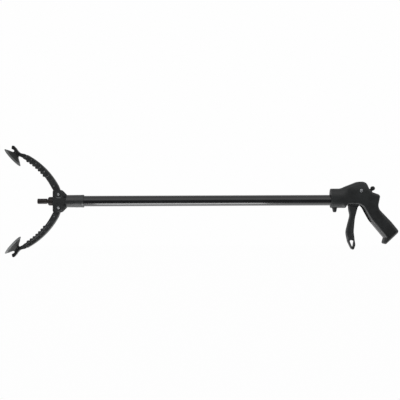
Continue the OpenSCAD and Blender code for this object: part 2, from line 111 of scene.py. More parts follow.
def turned(name, profile, body, axis="x", at=(0, 0, 0), steps=96, closed=True):
    """A lathe-turned piece from (radius, along) points in mm, about an axis through the point at. The
    axis is a letter, or three directions: two across it, then its own."""
    across, up, along = (Vector(d) for d in (AXES[axis] if isinstance(axis, str) else axis))
    rings = []
    bm = bmesh.new()
    for r, s in profile:
        middle = Vector(at) + along * s
        if r < 1e-6:
            rings.append([bm.verts.new(place(*middle))])
            continue
        angles = [2 * math.pi * i / steps for i in range(steps)]
        rings.append([bm.verts.new(place(*(middle + across * (r * math.cos(a)) + up * (r * math.sin(a)))))
                      for a in angles])
    pairs = list(zip(rings, rings[1:]))
    if closed:
        pairs.append((rings[-1], rings[0]))
    for a, b in pairs:
        if len(a) == 1 and len(b) == 1:
            continue
        for i in range(steps):
            j = (i + 1) % steps
            if len(a) == 1:
                bm.faces.new((a[0], b[i], b[j]))
            elif len(b) == 1:
                bm.faces.new((a[i], b[0], a[j]))
            else:
                bm.faces.new((a[i], b[i], b[j], a[j]))
    return seal(name, bm, body)


def seal(name, bm, body=None, sharp=42):
    """Makes a smooth-shaded object of a bmesh with its hard edges kept, riding on its body if it has one."""
    bmesh.ops.recalc_face_normals(bm, faces=bm.faces)
    mesh = bpy.data.meshes.new(name)
    bm.to_mesh(mesh)
    bm.free()
    made = bpy.data.objects.new(name, mesh)
    bpy.context.scene.collection.objects.link(made)
    mesh.shade_smooth()
    mesh.set_sharp_from_angle(angle=math.radians(sharp))
    if body:
        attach(made, body)
    return made


def finished(piece, material, slot, *nodes):
    """Gives a piece its material, and lets it stand for its CAD nodes. Its slot is not used."""
    piece.data.materials.clear()
    piece.data.materials.append(material)
    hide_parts(*nodes)
    return piece


def applied(piece):
    """Makes a piece's modifiers part of its mesh."""
    bpy.context.view_layer.update()
    made = bpy.data.meshes.new_from_object(piece.evaluated_get(bpy.context.evaluated_depsgraph_get()))
    piece.modifiers.clear()
    old, piece.data = piece.data, made
    bpy.data.meshes.remove(old)
    return piece


def merged(piece, others, how):
    """Joins or cuts a piece with others, which are used up."""
    for other in others:
        step = piece.modifiers.new("step", "BOOLEAN")
        step.operation = how
        step.solver = "MANIFOLD"
        step.object = other
        applied(piece)
        bpy.data.objects.remove(other)
    piece.data.shade_smooth()
    piece.data.set_sharp_from_angle(angle=math.radians(38))
    return piece


def about_tube(piece, degrees):
    """Turns a piece about the tube's axis."""
    turn = Matrix.Rotation(math.radians(degrees), 4, "X")
    piece.data.transform(Matrix.Translation(-GRIP) @ turn @ Matrix.Translation(GRIP))
    return piece


# Gloss black enamel on drawn tube: a hard clear shine over a slow ripple, with dust-fine
# scuffs that run along the tube and dull it a little where hands slide.
enamel, t, where = blank("gloss_black_enamel")
# Scuffs 0.5 mm wide and about 40 mm long, and a ripple 9 mm apart in the dip coat.
stretched = add(t, "Mapping", {"vector_type": "POINT", "Scale": (25, 2000, 2000)}, {"Vector": where})
scuffs = add(t, "TexNoise", {"Scale": 1.0, "Detail": 5.0, "Roughness": 0.62},
             {"Vector": stretched.outputs[0]})
slow = add(t, "TexNoise", {"Scale": 34.0, "Detail": 3.0}, {"Vector": where})
ripple = add(t, "TexNoise", {"Scale": 110.0, "Detail": 2.0}, {"Vector": where})
tone = add(t, "ValToRGB", {"stops": [(0.32, "#0b0c0e"), (0.7, "#15171a")]}, {"Fac": slow.outputs["Fac"]})
dull = add(t, "MapRange", {"From Min": 0.35, "From Max": 0.8, "To Min": 0.17, "To Max": 0.36},
           {"Value": scuffs.outputs["Fac"]})
wave = add(t, "Bump", {"Strength": 0.05, "Distance": 0.0006}, {"Height": ripple.outputs["Fac"]})
marks = add(t, "Bump", {"Strength": 0.06, "Distance": 0.0001},
            {"Height": scuffs.outputs["Fac"], "Normal": wave.outputs[0]})
shader = add(t, "BsdfPrincipled", {"IOR": 1.5, "Coat Weight": 0.7, "Coat Roughness": 0.07, "Coat IOR": 1.52},
             {"Base Color": tone.outputs[0], "Roughness": dull.outputs[0], "Normal": marks.outputs[0]})
add(t, "OutputMaterial", {}, {"Surface": shader.outputs[0]})

tube = turned("tube", [
    (TUBE_R - 1.2, TUBE_FRONT), (TUBE_R - 0.2, TUBE_FRONT), (TUBE_R, TUBE_FRONT + 0.2),
    (TUBE_R, TUBE_FRONT + 60), (TUBE_R, -300), (TUBE_R, -120), (TUBE_R, -20), (TUBE_R, TUBE_REAR - 0.2),
    (TUBE_R - 0.2, TUBE_REAR), (TUBE_R - 1.2, TUBE_REAR)
], "shaft", steps=128)
# Drilled through its wall: three holes for the lock button, two for the ring's screws, one for the collar's.
drilled = [(BUTTON_X, 2.1, angle) for angle in (0, -45, -90)]
drilled += [(RING_SCREW_X, 1.02, angle) for angle in (0, 180)] + [(COLLAR_SCREW_X, 1.52, 0)]
merged(tube, [about_tube(turned("drilling", [(0, -12.5), (r, -12.5), (r, -8.5), (0, -8.5)], "shaft", axis="z",
                                at=(x, 0, 0), steps=32, closed=False), angle)
              for x, r, angle in drilled], "DIFFERENCE")
finished(tube, enamel, "tube_enamel", "shaft_tube")


# ---------------------------------------------------------------- handle shells
# The pistol handle: two satin ABS mouldings, 2.4 mm thick, drawn together by six screws from
# the far side. The barrel is nearly round at its front and the grip is softly squared.

HANDLE_RIM = [
    (0, 24.1, 1.6), (20, 24.1, 20), (55.5, 38.1, 16), (72.6, 38.3, 12), (78, 24, 1.4),
    (85.3, 16.1, 6), (101.3, 10.6, 6), (95.8, -16, 16), (124, -44.7, 60),
    (140.6, -65.3, 6), (113, -91.3, 3.4), (106.6, -90.4, 3.2), (110.2, -78, 3),
    (79.5, -41.5, 20), (63, -8.6, 18), (34, -8.6, 4), (29, -16.2, 3), (0, -16.2, 1.6)
]
HANDLE_HALF = 15.0
SPLIT = 0.06
WEAR = 0.0006  # how far in from an edge, in metres, handling rubs a surface
PIVOT = (61.1, 19.4)
SCREWS = ((8.5, 16.8), (42, 24.4), (56, 31), (92, 2), (95, -31), (118, -71))
BARREL_MIDDLE, BARREL_REACH = 3.95, 20.15


def rounded(corners, turn=7.0, spacing=2.0):
    """A closed outline in mm from (x, z, corner radius), with points no further apart than spacing."""
    found = []
    n = len(corners)
    for i in range(n):
        a, p, b = (Vector(corners[k % n][:2]) for k in (i - 1, i, i + 1))
        u, v = (a - p).normalized(), (b - p).normalized()
        half = u.angle(v) / 2
        r = corners[i][2]
        c = p + (u + v).normalized() * (r / math.sin(half))
        s = p + u * (r / math.tan(half)) - c
        e = p + v * (r / math.tan(half)) - c
        a0 = math.atan2(s.y, s.x)
        swing = (math.atan2(e.y, e.x) - a0 + 3 * math.pi) % (2 * math.pi) - math.pi
        count = max(1, math.ceil(abs(math.degrees(swing)) / turn))
        found += [c + r * Vector((math.cos(a0 + swing * k / count), math.sin(a0 + swing * k / count)))
                  for k in range(count + 1)]
    dense = []
    for p, q in zip(found, found[1:] + found[:1]):
        gap = (q - p).length
        if gap < 1e-4:
            continue
        pieces = max(1, math.ceil(gap / spacing))
        dense += [p + (q - p) * (k / pieces) for k in range(pieces)]
    return np.array([(p.x, p.y) for p in dense])


def rim_distance(points, loop):
    """How far each point is from a closed loop, in mm."""
    best = np.full(len(points), 1e9)
    for a, b in zip(loop, np.roll(loop, -1, axis=0)):
        d = b - a
        s = np.clip(((points - a) @ d) / max(d @ d, 1e-12), 0, 1)
        best = np.minimum(best, np.hypot(*(points - a - s[:, None] * d).T))
    return best


def inside(points, loop):
    """Which points lie within a closed loop."""
    hit = np.zeros(len(points), bool)
    for a, b in zip(loop, np.roll(loop, -1, axis=0)):
        if a[1] == b[1]:
            continue
        across = (points[:, 1] < a[1]) != (points[:, 1] < b[1])
        hit ^= across & (points[:, 0] < a[0] + (points[:, 1] - a[1]) * (b[0] - a[0]) / (b[1] - a[1]))
    return hit


def moulding(name, rim, height, body, sides=(-1, 1), split=None,
             steps=(0.12, 0.4, 0.9, 1.6, 2.5, 3.6, 5.0, 6.6), pitch=2.2, loops=()):
    """A moulded solid in mm: a closed rim in side view, thickened to height(x, z, depth in from the rim)
    on each side of the middle plane. With a split it is one half, cut off flat near that plane."""
    n = len(rim)
    extra = []
    turn = np.roll(rim, -1, axis=0) - np.roll(rim, 1, axis=0)
    inward = np.stack([-turn[:, 1], turn[:, 0]], 1) / np.hypot(*turn.T)[:, None]
    if not inside(rim[:1] + inward[:1] * 0.05, rim)[0]:
        inward = -inward
    for depth in steps:
        around = rim + inward * depth
        keep = inside(around, rim) & (rim_distance(around, rim) > depth * 0.93)
        extra.append(around[keep])
    low, high = rim.min(0), rim.max(0)
    gx, gz = np.meshgrid(np.arange(low[0], high[0], pitch), np.arange(low[1], high[1], pitch))
    grid = np.stack([gx.ravel(), gz.ravel()], 1)
    grid = grid[inside(grid, rim)]
    extra.append(grid[rim_distance(grid, rim) > steps[-1] + pitch * 0.6])
    extra += [np.array(loop) for loop in loops]
    free = np.concatenate([e for e in extra if len(e)])
    verts, _, faces, origins, _, _ = delaunay_2d_cdt(
        [Vector(p) for p in (*rim, *free)],
        [(i, (i + 1) % n) for i in range(n)], [], 1, 1e-5)
    flat = np.array([(v.x, v.y) for v in verts])
    depth = rim_distance(flat, rim)
    depth[depth < 1e-3] = 0
    tall = height(flat[:, 0], flat[:, 1], depth)
    edge = [None] * n
    for i, source in enumerate(origins):
        for k in source:
            if k < n:
                edge[k] = i
    bm = bmesh.new()
    groove = 0.25
    tops = {}
    for side in sides:
        tops[side] = [bm.verts.new(place(p[0], side * h, p[1])) for p, h in zip(flat, tall)]
        for f in faces:
            bm.faces.new([tops[side][k] for k in f])
    if split is None:
        for i in range(n):
            a, b = edge[i], edge[(i + 1) % n]
            bm.faces.new((tops[-1][a], tops[-1][b], tops[1][b], tops[1][a]))
    else:
        side = sides[0]
        shoulder = [bm.verts.new(place(rim[i][0], side * (split + groove), rim[i][1])) for i in range(n)]
        lip = [bm.verts.new(place(x, side * split, z)) for x, z in rim + inward * groove]
        for i in range(n):
            j = (i + 1) % n
            bm.faces.new((tops[side][edge[i]], tops[side][edge[j]], shoulder[j], shoulder[i]))
            bm.faces.new((shoulder[i], shoulder[j], lip[j], lip[i]))
        bm.faces.new(lip)
    return seal(name, bm, body)


def bridged(name, first, last):
    """A plain solid between two matching loops of points in mm, for cutting or joining."""
    bm = bmesh.new()
    ends = [[bm.verts.new(place(*point)) for point in loop] for loop in (first, last)]
    bm.faces.new(ends[0])
    bm.faces.new(ends[1][::-1])
    for i in range(len(ends[0])):
        j = (i + 1) % len(ends[0])
        bm.faces.new((ends[0][i], ends[1][i], ends[1][j], ends[0][j]))
    return seal(name, bm)


def prism(name, loop, y0, y1):
    """A plain solid between two distances from the middle plane, from a loop in side view in mm."""
    return bridged(name, *([(p[0], y, p[1]) for p in loop] for y in (y0, y1)))


def box(x0, x1, z0, z1):
    """A rectangle in side view, as a loop of points in mm."""
    return [(x0, z0), (x1, z0), (x1, z1), (x0, z1)]


def disc(cx, cz, r, count=48):
    """A circle in side view, as a loop of points in mm."""
    angles = [2 * math.pi * k / count for k in range(count)]
    return [(cx + r * math.cos(a), cz + r * math.sin(a)) for a in angles]


def bore(name, r, x0, x1):
    """A round cutter along the tube's axis."""
    return bridged(name, *([(x, *p) for p in disc(0, 0, r, 96)] for x in (x0, x1)))


def wedge(name, r, x0, x1, spread):
    """A cutter along the tube's axis: a sector of radius r, spread degrees each side of straight up."""
    angles = [math.radians(90 + spread * k / 12) for k in range(-12, 13)]
    loop = [(0, 0)] + [(r * math.cos(a), r * math.sin(a)) for a in angles]
    return bridged(name, *([(x, *p) for p in loop] for x in (x0, x1)))


def smooth(value, low, high):
    """Rises from 0 to 1 between two values, with no kink at either."""
    s = np.clip((value - low) / (high - low), 0, 1)
    return s * s * (3 - 2 * s)


def quarter(depth, r):
    """How far below its full height a rounded edge of radius r is, at a depth in from the rim."""
    return r * (1 - np.sqrt(np.clip(1 - (1 - np.clip(depth / r, 0, 1)) ** 2, 0, 1)))


def handle_height(x, z, depth):
    """The side of the handle: a round barrel that flattens out into a flat cheek, and a crowned grip."""
    cheek = smooth(x, 19, 35)
    grip = smooth(-z, 14, 40) * smooth(x, 60, 80)
    r = 5.0 + (8.0 - 5.0) * grip
    flat = HANDLE_HALF - quarter(depth, r)
    across = np.clip(np.abs(z - BARREL_MIDDLE) / BARREL_REACH, 0, 1)
    round_side = HANDLE_HALF * (1 - across ** 2.3) ** (1 / 2.3) - quarter(x, 1.1)
    body = round_side + (flat - round_side) * cheek
    # The upper edge of the housing rolls over further than the rest.
    roll = smooth(z, 19, 39) * smooth(x, 22, 50) * 2.6
    return np.maximum(body - roll, 1.0)


def worn(tree, colour, paler):
    """A colour rubbed paler along its edges, which show where the normal of a rounded edge leaves
    the surface's own."""
    own = add(tree, "NewGeometry")
    eased = add(tree, "Bevel", {"samples": 4, "Radius": WEAR})
    apart = add(tree, "VectorMath", {"operation": "DOT_PRODUCT"},
                {0: own.outputs["Normal"], 1: eased.outputs[0]})
    edge = add(tree, "MapRange", {"From Min": 0.97, "From Max": 0.84}, {"Value": apart.outputs["Value"]})
    return add(tree, "Mix", {"data_type": "RGBA", "B": srgb(paler)},
               {"Factor": edge.outputs[0], "A": colour}).outputs["Result"]


def finish(name, cloud, tones, dull, relief, shader, grain=None, rings=None, rubbed=None):
    """A solid finish. Its tone and its roughness drift with one broad noise. Its relief, given as strength
    and depth in metres, follows a fine grain, tool rings along the tube, or else the same noise."""
    made, t, where = blank(name)
    noise = [dict(zip(("Scale", "Detail", "Roughness"), values or ())) for values in (cloud, grain)]
    broad = fine = add(t, "TexNoise", noise[0], {"Vector": where})
    if grain:
        fine = add(t, "TexNoise", noise[1], {"Vector": where})
    if rings:
        fine = add(t, "TexWave", {"wave_type": "BANDS", "bands_direction": "X", "Scale": rings[0],
                                  "Distortion": rings[1], "Detail": 1.0}, {"Vector": where})
    colour = add(t, "ValToRGB", {"stops": tones}, {"Fac": broad.outputs["Fac"]}).outputs[0]
    if rubbed:
        colour = worn(t, colour, rubbed)
    rough = add(t, "MapRange", dict(zip(("From Min", "From Max", "To Min", "To Max"), dull)),
                {"Value": broad.outputs["Fac"]})
    skin = add(t, "Bump", {"Strength": relief[0], "Distance": relief[1]}, {"Height": fine.outputs["Fac"]})
    shine = add(t, "BsdfPrincipled", shader,
                {"Base Color": colour, "Roughness": rough.outputs[0], "Normal": skin.outputs[0]})
    add(t, "OutputMaterial", {}, {"Surface": shine.outputs[0]})
    return made


# Satin black ABS: injection moulded against a fine spark-eroded grain, so it shines softly and
# broadly, with a bare trace of mould flow in its colour and a polish where the hand holds it.
# Grain 0.9 mm across, coarser than the real 0.2 mm so that it shows.
abs_black = finish(
    "satin_black_abs", cloud=(42.0, 4.0, 0.55), tones=[(0.3, "#191b1c"), (0.72, "#232627")], rubbed="#34383a",
    dull=(0.3, 0.75, 0.38, 0.52), grain=(1100.0, 2.0, 0.6), relief=(0.22, 0.00025),
    shader={"IOR": 1.53, "Specular IOR Level": 0.55})

rim = rounded(HANDLE_RIM)
for side, name in ((-1, "near"), (1, "far")):
    shell = moulding("handle_shell_" + name + "_skin", rim, handle_height, "handle", sides=(side,),
                     split=SPLIT)
    rooms = [
        bore("bore", 11.45, -2, 40),
        bore("seat", 12.62, 3, 28.3),
        bore("ring_room", 13.3, 19.2, 23.4),
        wedge("lug_room", 15.9, 19.3, 23.3, 54),
        prism("trigger_room", [(30.5, -22), (30.5, -5), (33, 22), (52, 32), (72, 33), (74, 22), (74, -4),
                               (80, -34), (84.4, -44), (78, -50), (60, -42)], -10, 10),
        prism("latch_room", [(72, 28), (72, 6), (86, 6), (88, 16), (96, 22), (96, 40), (75.2, 40)], -5, 5),
        prism("pin_hole", disc(*PIVOT, 2.55), -20, 20),
        prism("pin_seat", disc(*PIVOT, 3.9), 13.8 if side > 0 else -20, 20 if side > 0 else -13.8),
        prism("button_hole", box(BUTTON_X - 5.3, BUTTON_X + 5.3, -20, -10), -5.3, 5.3),
    ]
    if side > 0:
        rooms += [prism("screw_seat", disc(x, z, 3.1, 32), 12, 20) for x, z in SCREWS]
    merged(shell, rooms, "DIFFERENCE")
    finished(shell, abs_black, "handle_abs", "handle_shell_" + name)


# ---------------------------------------------------------------- trigger
# The lever: one glass-filled nylon moulding. Its blade is waisted for the fingers and ends in a
# hanging eye; inside the handle it forks round the rod's spool and carries the latch's notches.

TRIGGER_RIM = [
    (53.5, 13, 4), (44.5, -4, 6), (36.8, -10.6, 3), (37.4, -20, 12), (39.8, -32, 16),
    (31, -66, 26), (34.2, -86, 14), (41.6, -101.4, 6), (47.6, -103.6, 3.4),
    (51, -93, 10), (46.9, -66, 40), (49.6, -37, 40), (55, -17, 20), (66, 8, 12), (66, 14, 2)
]
EYE_RIM = [(37.4, -82.2, 2.4), (47.9, -83.8, 2.4), (45.3, -101.2, 1.7)]
BLADE_TOP = -9.6
BLADE_HALF = 7.5
HUB_HALF = 9.3
TRIGGER_TRAVEL = 25.862


def clipped(loop, level):
    """The part of a loop below a level, closed along it."""
    kept = []
    for a, b in zip(loop, np.roll(loop, -1, axis=0)):
        if a[1] <= level:
            kept.append(tuple(a))
        if (a[1] <= level) != (b[1] <= level):
            s = (level - a[1]) / (b[1] - a[1])
            kept.append(tuple(a + (b - a) * s))
    return np.array(kept)


def blade_height(x, z, depth):
    """A blade that is fullest along its middle, with a shallow flute down each side."""
    full = BLADE_HALF - quarter(depth, 3.2)
    flute = 1.1 * smooth(depth, 3.4, 5.2) * smooth(-z, 24, 34) * smooth(z, -80, -70)
    eye = 2.2 * smooth(-z, 74, 84)
    return np.maximum(full - flute - eye, 0.6)


# Satin glass-filled nylon: a little greyer and duller than the ABS, because the fibres lie just
# under the skin, with faint streaks along the way the plastic flowed.
glass_nylon, t, where = blank("glass_filled_nylon")
# Fibre streaks 1.2 mm apart and about 8 mm long, drawn coarser than real ones so that they show.
lengthwise = add(t, "Mapping", {"vector_type": "POINT", "Scale": (820, 820, 120)}, {"Vector": where})
streak = add(t, "TexNoise", {"Scale": 1.0, "Detail": 3.0, "Roughness": 0.55},
             {"Vector": lengthwise.outputs[0]})
mottle = add(t, "TexNoise", {"Scale": 70.0, "Detail": 3.0}, {"Vector": where})
tone = add(t, "ValToRGB", {"stops": [(0.3, "#1f2122"), (0.75, "#2b2d2e")]}, {"Fac": mottle.outputs["Fac"]})
streaked = add(t, "ValToRGB", {"stops": [(0.35, "#1e2021"), (0.7, "#303233")]},
               {"Fac": streak.outputs["Fac"]})
both = add(t, "Mix", {"data_type": "RGBA", "Factor": 0.4}, {"A": tone.outputs[0], "B": streaked.outputs[0]})
rubbed = worn(t, both.outputs["Result"], "#43474a")
rough = add(t, "MapRange", {"From Min": 0.3, "From Max": 0.7, "To Min": 0.4, "To Max": 0.56},
            {"Value": streak.outputs["Fac"]})
skin = add(t, "Bump", {"Strength": 0.18, "Distance": 0.0002}, {"Height": streak.outputs["Fac"]})
shader = add(t, "BsdfPrincipled", {"IOR": 1.54, "Specular IOR Level": 0.5},
             {"Base Color": rubbed, "Roughness": rough.outputs[0], "Normal": skin.outputs[0]})
add(t, "OutputMaterial", {}, {"Surface": shader.outputs[0]})

rim = rounded(TRIGGER_RIM, spacing=1.6)
lever = moulding("trigger_lever", clipped(rim, BLADE_TOP), blade_height, "trigger",
                 steps=(0.12, 0.35, 0.8, 1.4, 2.1, 3.0, 4.2), pitch=1.8)
upper_rim = np.array([p for p in rim if p[1] > -13])
parts = [prism("cheek", upper_rim, y, y + 2.5) for y in (-HUB_HALF, HUB_HALF - 2.5)]
parts.append(prism("hub", disc(*PIVOT, 8.5, 64), -HUB_HALF, HUB_HALF))
arc = [(PIVOT[0] + 10 * math.cos(a), PIVOT[1] + 10 * math.sin(a)) for a in np.radians(range(-72, -19, 4))]
parts.append(prism("sector", [PIVOT] + arc, -3, 3))
merged(lever, parts, "UNION")
holes = [prism("eye", rounded(EYE_RIM, spacing=1.2), -20, 20),
         prism("pivot_bore", disc(*PIVOT, 2.55, 48), -20, 20)]
for k in (0, 0.5, 1):
    a = math.radians(-26.6 - TRIGGER_TRAVEL * k)
    notch = disc(PIVOT[0] + 10.4 * math.cos(a), PIVOT[1] + 10.4 * math.sin(a), 1.5, 24)
    holes.append(prism("notch", notch, -4, 4))
merged(lever, holes, "DIFFERENCE")
pegs = [prism("peg", disc(PIVOT[0] - 4.454, 0, 2.1, 32), y, y + 3.2) for y in (-6.9, 3.7)]
merged(lever, pegs, "UNION")
finished(lever, glass_nylon, "trigger_nylon", "trigger")


# ---------------------------------------------------------------- thumb latch and lock button
# Two controls in plain black acetal-like plastic, polished by use: a latch behind the housing
# that the thumb flips into the trigger's notches, and a press button under the barrel.

LATCH_PIN = (76.0, 12.5)

# Worn black plastic: the mould's grain is rubbed off, so it is smoother and a touch brighter
# on its edges than the handle, with fine hairline scratches left.
# Hairlines 0.4 mm apart, coarser than real ones so that they show.
worn_black = finish(
    "worn_black_plastic", cloud=(130.0, 3.0), tones=[(0.3, "#1c1d1e"), (0.75, "#26282a")], rubbed="#3d4144",
    dull=(0.3, 0.7, 0.36, 0.5), grain=(2400.0, 2.0), relief=(0.12, 0.0001),
    shader={"IOR": 1.49, "Specular IOR Level": 0.5})


def stadium(a, ra, b, rb, count=20):
    """The outline of two circles with straight sides drawn between them."""
    a, b = Vector(a), Vector(b)
    d = (b - a).length
    lean = math.atan2((b - a).y, (b - a).x)
    open_angle = math.acos((ra - rb) / d)
    first = [(a.x + ra * math.cos(lean + t), a.y + ra * math.sin(lean + t))
             for t in np.linspace(open_angle, 2 * math.pi - open_angle, count)]
    last = [(b.x + rb * math.cos(lean + t), b.y + rb * math.sin(lean + t))
            for t in np.linspace(-open_angle, open_angle, count)]
    return np.array(first + last)


def nub_height(x, z, depth):
    """The latch's thumb pad, rounded all over, with three grip ridges across its end."""
    away = (x - 87.6) * 0.7 + (z - 24.3) * 0.71
    ridges = 0.25 * np.sin(away * 2.6) * (1 - smooth(np.abs(away), 2.6, 3.6))
    return np.maximum(4.3 - quarter(depth, 2.4) + ridges, 0.5)


latch = moulding("thumb_latch_pad", np.array(disc(87.6, 24.3, 4.5, 56)), nub_height, "latch",
                 steps=(0.15, 0.45, 0.9, 1.5, 2.2, 3.0), pitch=0.8)
nose_at = math.radians(155.2 - 22 - 3)
u, w = Vector((math.cos(nose_at), math.sin(nose_at))), Vector((-math.sin(nose_at), math.cos(nose_at)))
base = Vector(LATCH_PIN)
nose = [tuple(base + w * -0.8), tuple(base + u * 6 + w * -0.8)]
nose += [tuple(base + u * (6 + 0.8 * math.cos(q)) + w * (0.8 * math.sin(q)))
         for q in np.linspace(-1.2, 1.2, 7)]
nose += [tuple(base + u * 6 + w * 0.8), tuple(base + w * 0.8)]
merged(latch, [prism("latch_arm", stadium(LATCH_PIN, 4.0, (87, 23.7), 2.6), -3.2, 3.2),
               prism("latch_nose", nose, -2.6, 2.6)], "UNION")
merged(latch, [prism("latch_bore", disc(*LATCH_PIN, 1.55, 32), -6, 6)], "DIFFERENCE")
finished(latch, worn_black, "control_plastic", "thumb_latch")

button = turned("lock_button_cap", [
    (0, -25.1), (1.4, -25.06), (2.4, -24.8), (3.1, -24.3), (3.6, -23.5), (3.9, -22.6), (4.1, -21.6),
    (4.35, -20.2), (4.8, -18.4), (5.1, -17.0), (5.2, -16.4), (5.2, -13.8), (6.0, -13.8), (6.0, -13.2),
    (1.8, -13.2), (1.8, -11.6), (1.5, -11.3), (0, -11.3)
], "lock_button", axis="z", at=(BUTTON_X, 0, 0), steps=64, closed=False)
finished(button, worn_black, "control_plastic", "shaft_lock_button")


# ---------------------------------------------------------------- collar
# The collar that joins the tube to the head: a satin plastic socket pressed on and held by one
# screw, with a rolled bead at its open end and a tongue that the head's plates clasp.

COLLAR_REAR = COLLAR_SCREW_X + 15
COLLAR_FRONT = -547.4
JAW_X = -562.5

# Satin moulded plastic, turned smooth in the tool: broad soft shine, with fine rings from the
# core pin and a few handling scuffs.
# Turning rings 1.4 mm apart along the tube, coarser than the real 0.3 mm so that they show.
collar_satin = finish(
    "satin_collar_plastic", cloud=(60.0, 4.0), tones=[(0.3, "#1b1d1e"), (0.75, "#272a2b")], rubbed="#4a4e50",
    dull=(0.3, 0.75, 0.34, 0.46), rings=(220.0, 0.6), relief=(0.06, 0.0001),
    shader={"IOR": 1.56, "Specular IOR Level": 0.8})

collar = turned("collar", [
    (2.1, COLLAR_FRONT), (12.0, COLLAR_FRONT), (12.4, COLLAR_FRONT + 0.2), (12.7, COLLAR_FRONT + 0.8),
    (12.8, COLLAR_FRONT + 1.6), (12.95, -524), (13.0, COLLAR_REAR - 4.8), (13.1, COLLAR_REAR - 4.2),
    (13.2, COLLAR_REAR - 3.6), (13.2, COLLAR_REAR - 1.0), (13.1, COLLAR_REAR - 0.4),
    (12.8, COLLAR_REAR - 0.1), (12.4, COLLAR_REAR), (11.05, COLLAR_REAR), (11.05, COLLAR_FRONT + 1.4),
    (2.1, COLLAR_FRONT + 1.4)
], "shaft", steps=128)
merged(collar, [prism("tongue", box(JAW_X + 9.9, COLLAR_FRONT + 0.6, -11.6, 11.6), -7.97, 7.97)], "UNION")
merged(collar, [bore("rod_way", 2.1, JAW_X, COLLAR_FRONT + 4)], "DIFFERENCE")
finished(collar, collar_satin, "collar_plastic", "head_collar")


# ---------------------------------------------------------------- head
# The head: two mirrored glass-filled nylon plates riveted through the collar's tongue. Round
# bosses stand proud of each plate where the jaws' pins pass, and a bar runs under the upper one.

HEAD_FRONT = JAW_X - 11.8
PIN_Z = 13.75
BAR = (-0.4, 7.6)  # the raised bar's middle, from between the jaws' pins


def convex(circles, count=40):
    """The outline drawn tight round several circles given as (x, z, radius)."""
    cloud = [(x + r * math.cos(2 * math.pi * k / count), z + r * math.sin(2 * math.pi * k / count))
             for x, z, r in circles for k in range(count)]
    points = sorted(set((round(a, 5), round(b, 5)) for a, b in cloud))

    def chain(items):
        found = []
        for p in items:
            while len(found) > 1 and ((found[-1][0] - found[-2][0]) * (p[1] - found[-2][1])
                                      - (found[-1][1] - found[-2][1]) * (p[0] - found[-2][0])) <= 0:
                found.pop()
            found.append(p)
        return found[:-1]
    return chain(points) + chain(points[::-1])


def resampled(loop, spacing):
    """A loop with points added so that none are further apart than spacing."""
    dense = []
    for a, b in zip(loop, loop[1:] + loop[:1]):
        a, b = np.array(a), np.array(b)
        pieces = max(1, math.ceil(np.hypot(*(b - a)) / spacing))
        dense += [a + (b - a) * k / pieces for k in range(pieces)]
    return np.array(dense)


def plate_height(x, z, depth):
    """A flat plate with a rounded edge, a raised boss round each pin, a bar and a step at the front."""
    h = 11.0 - quarter(depth, 1.3)
    for pin in (-PIN_Z, PIN_Z):
        out = np.hypot(x - JAW_X, z - pin)
        h = np.maximum(h, 11.0 + 1.2 * (1 - smooth(out, 7.4, 8.3)) - 1.0 * (1 - smooth(out, 3.2, 4.4)))
    bar = (1 - smooth(np.abs(x - JAW_X - BAR[0]), 3.6, 4.4)) * (1 - smooth(np.abs(z - BAR[1]), 0.5, 1.1))
    h = np.maximum(h, 11.0 + 0.8 * bar)
    front = smooth(x, HEAD_FRONT + 2.2, HEAD_FRONT + 3.4)
    return np.maximum(h - 0.45 * (1 - front) * (depth > 0.6), 8.4)


# Pale nylon for the raised bar's crown and the arms' dots, painted paler than the plastic round them.
# Marks 1 mm apart, coarser than real ones so that they show.
pale_mark_nylon = finish(
    "pale_mark_nylon", cloud=(1000.0, 3.0), tones=[(0.3, "#5e6263"), (0.75, "#7c8081")],
    dull=(0, 1, 0.28, 0.42), relief=(0.1, 0.0001), shader={"IOR": 1.54})

rim = resampled(convex([(HEAD_FRONT + 4.4, 19, 4.4), (HEAD_FRONT + 4.4, -19, 4.4), (JAW_X, PIN_Z, 9.8),
                        (JAW_X, -PIN_Z, 9.8), (COLLAR_FRONT - 0.3, 12.2, 0.2),
                        (COLLAR_FRONT - 0.3, -12.2, 0.2)]), 1.6)
rings_round = [p for pin in (-PIN_Z, PIN_Z) for r in (1.0, 2.6, 3.2, 3.8, 4.4, 6.0, 7.4, 7.7, 8.0, 8.3)
               for p in disc(JAW_X, pin, r, 40)]
bar_grid = [(JAW_X + BAR[0] + a, BAR[1] + b) for a in (-4.6, -4.2, -3.8, -2, 0, 2, 3.8, 4.2, 4.6)
            for b in (-1.2, -0.8, -0.4, 0, 0.4, 0.8, 1.2)]
for side, name in ((-1, "near"), (1, "far")):
    plate = moulding("head_plate_" + name, rim, plate_height, "shaft", sides=(side,), split=8.0,
                     steps=(0.12, 0.35, 0.7, 1.2, 2.0, 2.8), pitch=1.5, loops=(rings_round, bar_grid))
    wall = prism("front_wall", box(HEAD_FRONT, HEAD_FRONT + 2.6, -9.3, 9.3),
                 *sorted((0.02 * side, 8.4 * side)))
    merged(plate, [wall], "UNION")
    merged(plate, [bore("holder_hole", 3.75, HEAD_FRONT - 1, HEAD_FRONT + 4)]
           + [prism("pin_hole", disc(JAW_X, z, 2.02), -20, 20) for z in (-PIN_Z, PIN_Z)]
           + [prism("rivet_hole", disc(JAW_X + 12.6, z, 1.27, 24), -20, 20) for z in (-8, 8)], "DIFFERENCE")
    finished(plate, glass_nylon, "head_plastic", "head_half_" + name)
    # The crown of the raised bar is painted pale.
    plate.data.materials.append(pale_mark_nylon)
    for face in plate.data.polygons:
        middle = (face.center + GRIP) * 1000
        if abs(middle.x - JAW_X - BAR[0]) < 3.7 and abs(middle.z - BAR[1]) < 0.75 and abs(middle.y) > 11.4:
            face.material_index = 1


# ---------------------------------------------------------------- magnet stub
# The stub at the tip: a turned boss, and in it a steel holder with a pressed-in nickel-plated
# magnet, for picking up pins and keys.

BOSS_TIP = HEAD_FRONT - 11
STUB_TIP = BOSS_TIP - 22

